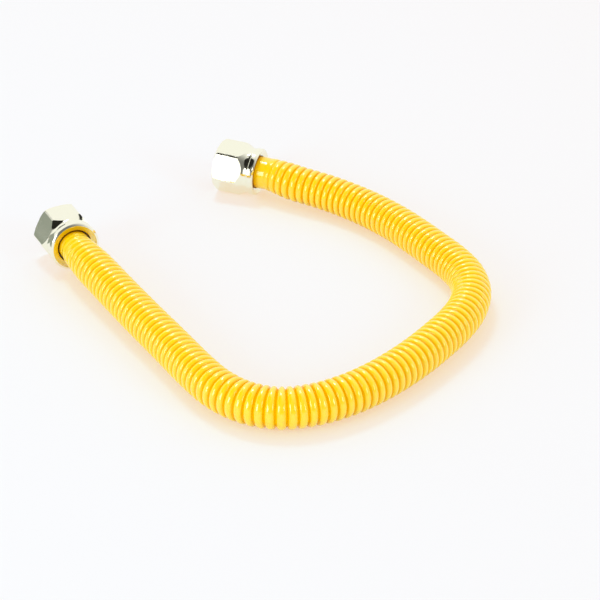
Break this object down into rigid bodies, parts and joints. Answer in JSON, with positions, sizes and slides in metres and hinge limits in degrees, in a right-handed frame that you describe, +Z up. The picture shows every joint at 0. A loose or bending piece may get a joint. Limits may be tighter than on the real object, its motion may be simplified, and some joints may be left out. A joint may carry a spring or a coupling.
{
  "type": "flexible gas hose",
  "caption": "Half metre flexible gas hose: ridged yellow jacket over a thin steel tube, with a loose plated hexagon union nut and gasket at each end.",
  "frame": {"origin": "centre of the bounding box at the surface that the hose lies on", "axes": "+Z up, the hose lies in the XY plane; +Y away from the viewer, towards the far nut; +X towards the bend on the right"},
  "size_m": [0.2188, 0.2459, 0.0264],
  "materials": {
    "yellow_jacket": "smooth bright yellow plastic, semi gloss",
    "stainless_steel": "bright thin stainless steel",
    "gasket_rubber": "matt flat gasket",
    "nut_plating": "bright warm nickel plating, polished"
  },
  "bodies": {
    "hose": {"hose_jacket": "yellow_jacket", "steel_tube": "stainless_steel", "near_end_ring": "stainless_steel", "far_end_ring": "stainless_steel"},
    "near_nut": {"near_union_nut": "nut_plating", "near_gasket": "gasket_rubber"},
    "far_nut": {"far_union_nut": "nut_plating", "far_gasket": "gasket_rubber"}
  },
  "joints": [
    {"name": "near_nut_spin", "type": "hinge", "parent": "hose", "child": "near_nut", "pos_m": [-0.08785, 0.02339, 0.01225], "axis": [-0.4421, 0.897, -0.0002], "continuous": true},
    {"name": "far_nut_spin", "type": "hinge", "parent": "hose", "child": "far_nut", "pos_m": [-0.00022, 0.10298, 0.0126], "axis": [-0.9348, 0.3529, 0.0396], "continuous": true}
  ]
}
